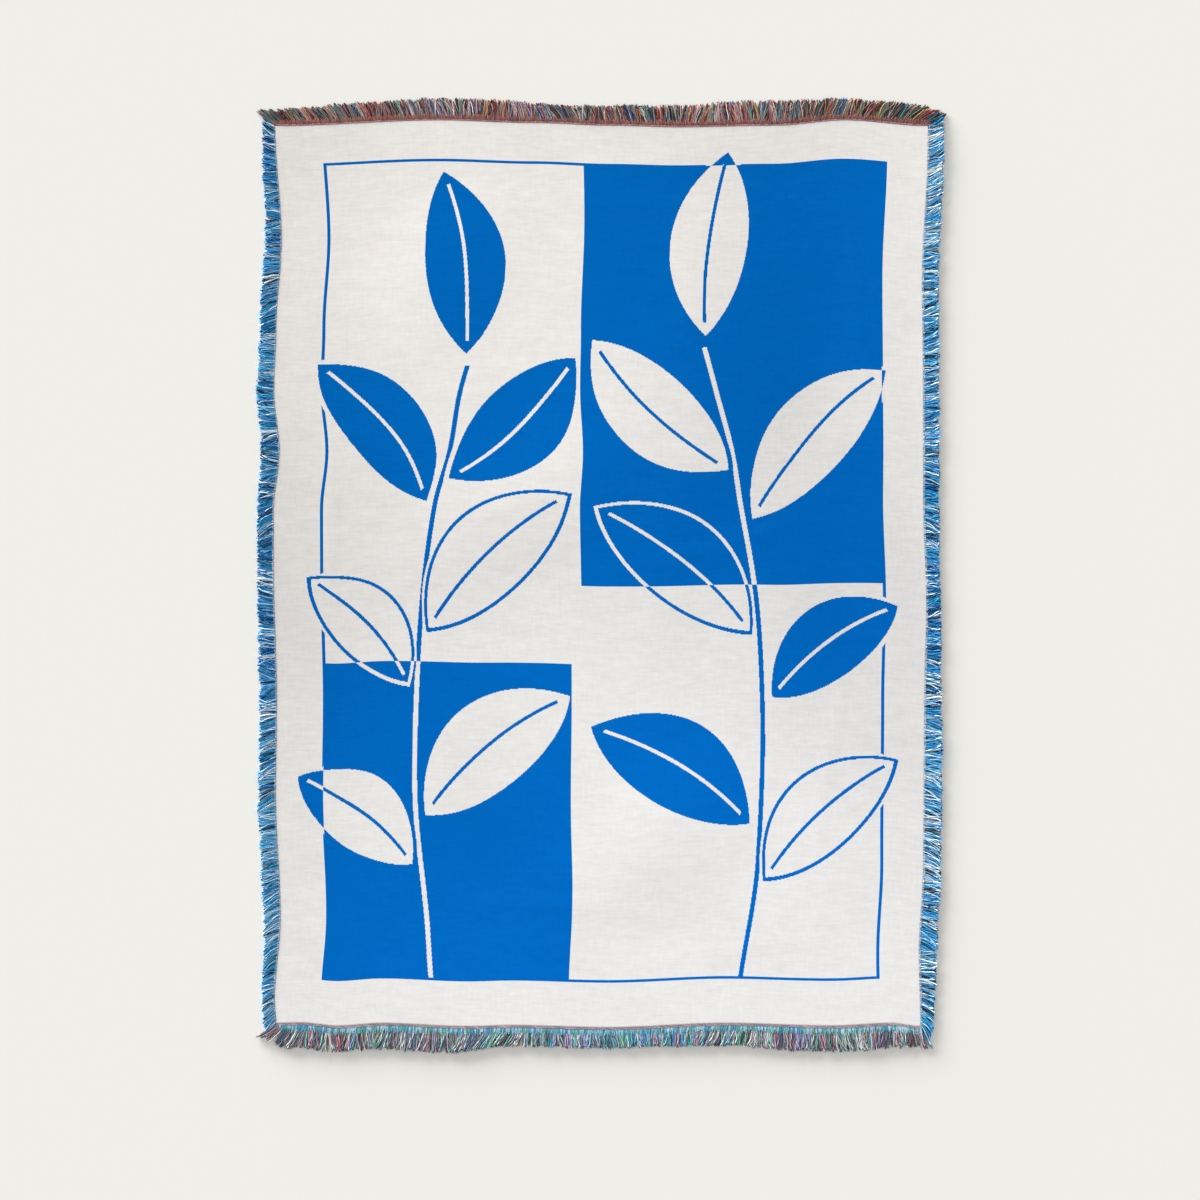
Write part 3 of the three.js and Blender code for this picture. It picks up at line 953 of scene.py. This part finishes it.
    settled = add(MAP_RANGE, way, 0.0, SETTLED_BY, interpolation_type="SMOOTHSTEP")
    rest = add(
        MATH, read["layer"], given["Layer Height"], given["Rest Height"],
        operation="MULTIPLY_ADD",
    )
    root_height = add(
        MATH, read["layer"], ROOT_LAYER_HEIGHT, given["Root Height"], operation="MULTIPLY_ADD"
    )
    fall = add(MATH, rest, root_height, operation="SUBTRACT")
    lain = add(MATH, fall, settled, root_height, operation="MULTIPLY_ADD")
    beyond = add(MATH, 1.0, way, operation="SUBTRACT")
    hump = add(MATH, way, beyond, operation="MULTIPLY")
    arched = add(MATH, hump, given["Arch"], lain, operation="MULTIPLY_ADD")
    lift = add(MATH, read["tone"], square, operation="MULTIPLY")
    lifted = add(MATH, lift, TIP_LIFT, arched, operation="MULTIPLY_ADD")

    # Yarns cross over and under one another
    over = add(MAP_RANGE, wave, -1.0, 1.0, 0.0, CROSSING_HEIGHT)
    crossing = add(MATH, over, given["Crossing"], operation="MULTIPLY")
    height = add(MATH, crossing, way, lifted, operation="MULTIPLY_ADD")

    final = add(NAMED_ATTRIBUTE, "root", data_type="FLOAT_VECTOR")
    for direction, distance in ((given["Out"], out), (given["Along"], along), ((0, 0, 1), height)):
        move = add(VECTOR_MATH, into={"Vector": direction, "Scale": distance}, operation="SCALE")
        final = add(VECTOR_MATH, final, move, operation="ADD")
    laid = add("GeometryNodeSetPosition", into={"Geometry": yarns, "Position": final})

    # The ring round each yarn keeps its place in an attribute, for the twist in the material
    ring = add("GeometryNodeCurvePrimitiveCircle", into={"Resolution": YARN_SIDES, "Radius": 1.0})
    marked_ring = add(
        STORE_ATTRIBUTE,
        into={"Geometry": ring, "Name": "ring", "Value": add("GeometryNodeInputPosition")},
        data_type="FLOAT_VECTOR",
    )
    loosened = add(MATH, way, TIP_LOOSENING, ROOT_THICKNESS, operation="MULTIPLY_ADD")
    thickness = add(MATH, loosened, given["Yarn Radius"], operation="MULTIPLY")
    tubes = add(
        "GeometryNodeCurveToMesh",
        into={"Curve": laid, "Profile Curve": marked_ring, "Scale": thickness, "Fill Caps": True},
    )
    whole = add("GeometryNodeRealizeInstances", tubes)
    smooth = add("GeometryNodeSetShadeSmooth", whole)
    dressed = add("GeometryNodeSetMaterial", smooth, into={"Material": given["Yarn Material"]})
    add("NodeGroupOutput", dressed)
    return tree


# How much the tone of a yarn and of its clump can differ, how much painted shade darkens a stretch that
# leans, and where along a yarn, or up the pile, the painted shade at the root, the painted shade in the
# depth and the paler tip end or begin
DULLEST_TONE = 0.85
TONE_RANGE = 0.3
CLUMP_TONE_RANGE = 0.08
PAINTED_LEAN_SHADE = -0.14
PAINTED_ROOT_SHADE_END = 0.4
PAINTED_PILE_SHADE_END = 0.6
TIP_SHADE_START = 0.5

# The twist of the two plies along a yarn, in radians, and the width of a loose hair
PLY_TWIST = 60.0
HAIR_WIDTH = 0.6 * MM


def spun_yarn(name, colours, painted_root_shade, painted_pile_shade, tip_shade):
    """Plied cotton yarn, cut and left loose: matt and hairy, two strands twisted together, each
    yarn of one dyed colour. Painted shade darkens it at the root, down in the pile and where
    leaning yarns close up, and it is paler towards its tip. The colours come in the shares in
    which they are listed."""
    made, add = new_material(name)
    read = {
        attribute: add("ShaderNodeAttribute", attribute_name=attribute).outputs["Fac"]
        for attribute in ("tint", "tone", "clump_tone", "depth", "way", "lean")
    }
    ramp = add("ShaderNodeValToRGB", read["tint"])
    ramp.color_ramp.interpolation = "CONSTANT"
    stops = ramp.color_ramp.elements
    stops.remove(stops[1])
    for n, colour in enumerate(colours):
        stop = stops[0] if n == 0 else stops.new(n / len(colours))
        stop.color = linear(colour)
    paler = add(MATH, read["tone"], TONE_RANGE, DULLEST_TONE, operation="MULTIPLY_ADD")
    shade = add(MATH, read["clump_tone"], CLUMP_TONE_RANGE, paler, operation="MULTIPLY_ADD")
    # Painted shade: darker where leaning yarns close up, at the root and down in the pile
    leaning = add(MATH, read["lean"], operation="ABSOLUTE")
    painted_gap_shade = add(MATH, leaning, PAINTED_LEAN_SHADE, 1.0, operation="MULTIPLY_ADD")
    painted_shade_at_root = add(
        MAP_RANGE, read["way"], 0.0, PAINTED_ROOT_SHADE_END, painted_root_shade, 1.0,
        interpolation_type="SMOOTHSTEP",
    )
    painted_shade_in_pile = add(MAP_RANGE, read["depth"], 0.0, PAINTED_PILE_SHADE_END, painted_pile_shade, 1.0)
    to_tip = add(MAP_RANGE, read["way"], TIP_SHADE_START, 1.0, 1.0, tip_shade)
    for part in (painted_gap_shade, painted_shade_at_root, painted_shade_in_pile, to_tip):
        shade = add(MATH, shade, part, operation="MULTIPLY")
    coloured = add(VECTOR_MATH, ramp, shade, operation="MULTIPLY")

    # Two plies: ridges that wind along the yarn, under short loose hairs
    ring = add("ShaderNodeAttribute", attribute_name="ring").outputs["Vector"]
    around = add(SEPARATE, ring)
    angle = add(MATH, around.outputs[1], around.outputs[0], operation="ARCTAN2")
    twice = add(MATH, angle, 2.0, operation="MULTIPLY")
    twist = add(MATH, read["way"], PLY_TWIST, twice, operation="MULTIPLY_ADD")
    ply = add(MATH, twist, operation="SINE")
    place = add("ShaderNodeTexCoord").outputs["Object"]
    hairs = add(NOISE, into={"Vector": place, "Scale": 1 / HAIR_WIDTH, "Detail": 1.0})
    relief = add(MATH, ply, 0.5, hairs, operation="MULTIPLY_ADD")
    bump = add("ShaderNodeBump", into={"Strength": 0.5, "Distance": 0.15 * MM, "Height": relief})
    finish = {"Base Color": coloured, "Normal": bump, "Roughness": 0.85, "Specular IOR Level": 0.2}
    add("ShaderNodeOutputMaterial", add(PRINCIPLED, into=finish))
    return made


# Dyed yarns of the fringes and headers, each colour in its share
WARP_COLOURS = (
    "#98383e", "#703a3c", "#281c22", "#5a776b", "#bd6561", "#403a44", "#bc9869", "#8a403c",
    "#8ba597", "#9f919b", "#54443a", "#dfa7a1", "#4c9099", "#5470a4", "#e2d1c4", "#ab95b6",
    "#e4d8cb", "#6cb0ba",
)
BOTTOM_WARP_COLOURS = (
    "#3fa6b2", "#4a7cb8", "#62b0cc", "#4aa481", "#918dc2", "#565a66", "#c9d1ce", "#c09aa8",
    "#8b99a5", "#70b5a5", "#566e86", "#bcc8c5", "#b47078", "#6d5f67", "#9a424e", "#a79e66",
)
WEFT_COLOURS = (
    "#0e69b0", "#1878be", "#0b4f8c", "#2482c6", "#182f48", "#3290cc", "#dcebf4", "#2a98c6",
    "#3e98d2", "#d3e6f0", "#4eaadc", "#7abee4", "#9ccae6", "#a9b4d4",
)
TOP_HEADER_COLOURS = (
    "#9e605e", "#aa6c6a", "#8a5855", "#a36663", "#a9745f", "#926e6a", "#ae7472", "#91705f",
)
BOTTOM_HEADER_COLOURS = (
    "#86c2d8", "#68b4ce", "#9acede", "#509fbe", "#aad2e0", "#6eb4ac", "#62a4ce", "#bed8e2",
    "#52ac9c",
)
TOP_LINE_COLOURS = ("#b08e94", "#b8989e", "#a68489")
BOTTOM_LINE_COLOURS = ("#a58c95", "#9b838c", "#ad939b")
SELVAGE_COLOURS = ("#c0bfc6", "#a4aab8", "#cac8cc", "#8098b4")

# Each row of yarn: its side, where it starts out from the cloth's edge, its own reach or None,
# the share of the side's lean that it takes, its spacing, how it lies, its yarn, and the tones of
# its painted shade at the root and down in the pile, and its tone at the tip
ROWS = {
    "yarn_left": ("left", -0.5, None, 1.0, 0.5, EVEN | LOW, WEFT_COLOURS, 1.0, 0.68, 1.18),
    "yarn_right": ("right", -0.5, None, 1.0, 0.5, EVEN, WEFT_COLOURS, 1.0, 0.38, 1.31),
    "yarn_bottom": ("bottom", 11.5, None, 1.0, 0.5, LOOSE, BOTTOM_WARP_COLOURS, 0.87, 0.6, 1.0),
    "yarn_top": ("top", 6.2, None, 1.0, 0.5, LOOSE | LOW, WARP_COLOURS, 0.97, 0.4, 1.1),
    "header_bottom": ("bottom", 3, 13, 0.15, 1.0, STUBS, BOTTOM_HEADER_COLOURS, 0.97, 1.0, 0.92),
    "header_top": ("top", 0.8, 10.1, 0.3, 1.0, STUBS, TOP_HEADER_COLOURS, 1.0, 1.0, 0.9),
    "line_bottom": ("bottom", 0, 3.6, 0.0, 1.5, LINE, BOTTOM_LINE_COLOURS, 0.95, 1.0, 1.0),
    "line_top": ("top", -0.8, 2.5, 0.0, 1.5, LINE, TOP_LINE_COLOURS, 0.95, 1.0, 1.0),
    "selvage_left": ("left", -0.8, 2.3, 0.5, 2.0, STUBS, SELVAGE_COLOURS, 1.0, 1.0, 1.0),
    "selvage_right": ("right", -0.8, 3.8, 0.5, 2.0, STUBS, SELVAGE_COLOURS, 1.0, 1.0, 1.0),
}

CAMERA_PLACE = (-1.9 * MM, -44.8 * MM, 5.28)
FLOOR_HALF_SIZE = 40


def ready_camera():
    """The photo's view: straight down, through a long lens."""
    lens = bpy.data.cameras.new("camera")
    lens.lens = 85
    lens.sensor_width = 36
    camera = new_object("camera", lens)
    camera.location = CAMERA_PLACE
    bpy.context.scene.camera = camera


def ready_floor():
    """Seamless studio paper: matt and pale, and wide enough to fill a view from above."""
    half = FLOOR_HALF_SIZE
    corners = [(-half, -half, 0), (half, -half, 0), (half, half, 0), (-half, half, 0)]
    mesh = bpy.data.meshes.new("floor")
    mesh.from_pydata(corners, [], [(0, 1, 2, 3)])
    made, add = new_material("Matt studio paper")
    finish = {"Base Color": linear("#efeee9"), "Roughness": 1.0, "Specular IOR Level": 0.0}
    add("ShaderNodeOutputMaterial", add(PRINCIPLED, into=finish))
    floor = new_piece("floor", mesh, made)


# The key stands for a broad low window: suns side by side, each as wide as the step between them.
# What it doesn't give of a level surface's light comes from all round.
KEY_ELEVATION = 6.3
KEY_WIDTH = 16
KEY_HEADINGS = (-70, -54, -38)
KEY_SHARE = 0.4
ALL_LIGHT = 1.005


def ready_light():
    """Soft light from all round, and a wide low key from the upper left, which together show a
    matt surface in its own colour."""
    scene = bpy.context.scene
    scene.view_settings.view_transform = "Standard"
    world = bpy.data.worlds.new("soft room")
    world.use_nodes = True
    background = world.node_tree.nodes["Background"]
    background.inputs["Color"].default_value = (1, 1, 1, 1)
    background.inputs["Strength"].default_value = ALL_LIGHT - KEY_SHARE
    scene.world = world

    elevation = math.radians(KEY_ELEVATION)
    for heading in KEY_HEADINGS:
        key = bpy.data.lights.new("key", "SUN")
        key.energy = KEY_SHARE * math.pi / math.sin(elevation) / len(KEY_HEADINGS)
        key.angle = math.radians(KEY_WIDTH)
        lamp = new_object("key", key)
        turn = math.radians(heading)
        away = Vector((math.cos(turn), math.sin(turn), 0))
        down = away * math.cos(elevation) - Vector((0, 0, math.sin(elevation)))
        lamp.rotation_euler = down.to_track_quat("-Z", "Y").to_euler()


def fringe_row(name, seed, tree):
    """One row of yarn, from its line in the table."""
    side, start, reach, lean_share, pitch, lay, colours, *shades = ROWS[name]
    _, _, along, out, length = SIDES[side]
    guide = guide_line(side, start * MM, reach and reach * MM, lean_share)
    settings = {
        **lay,
        "Along": along,
        "Out": out,
        "Seed": seed,
        "Count": round(length / (pitch * MM)),
        "Yarn Material": spun_yarn(f"Plied cotton yarn, {name}", colours, *shades),
    }
    piece = grown(guide, tree, settings, name)
    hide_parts(f"fringe_{side}")
    return piece


ready_camera()
ready_floor()
ready_light()
panel = woven_panel(woven_cotton())
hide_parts("cloth")
loose_yarns = yarn_tree()
fringe = [fringe_row(name, seed, loose_yarns) for seed, name in enumerate(ROWS)]
for piece in (panel, *fringe):
    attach(piece, "root")
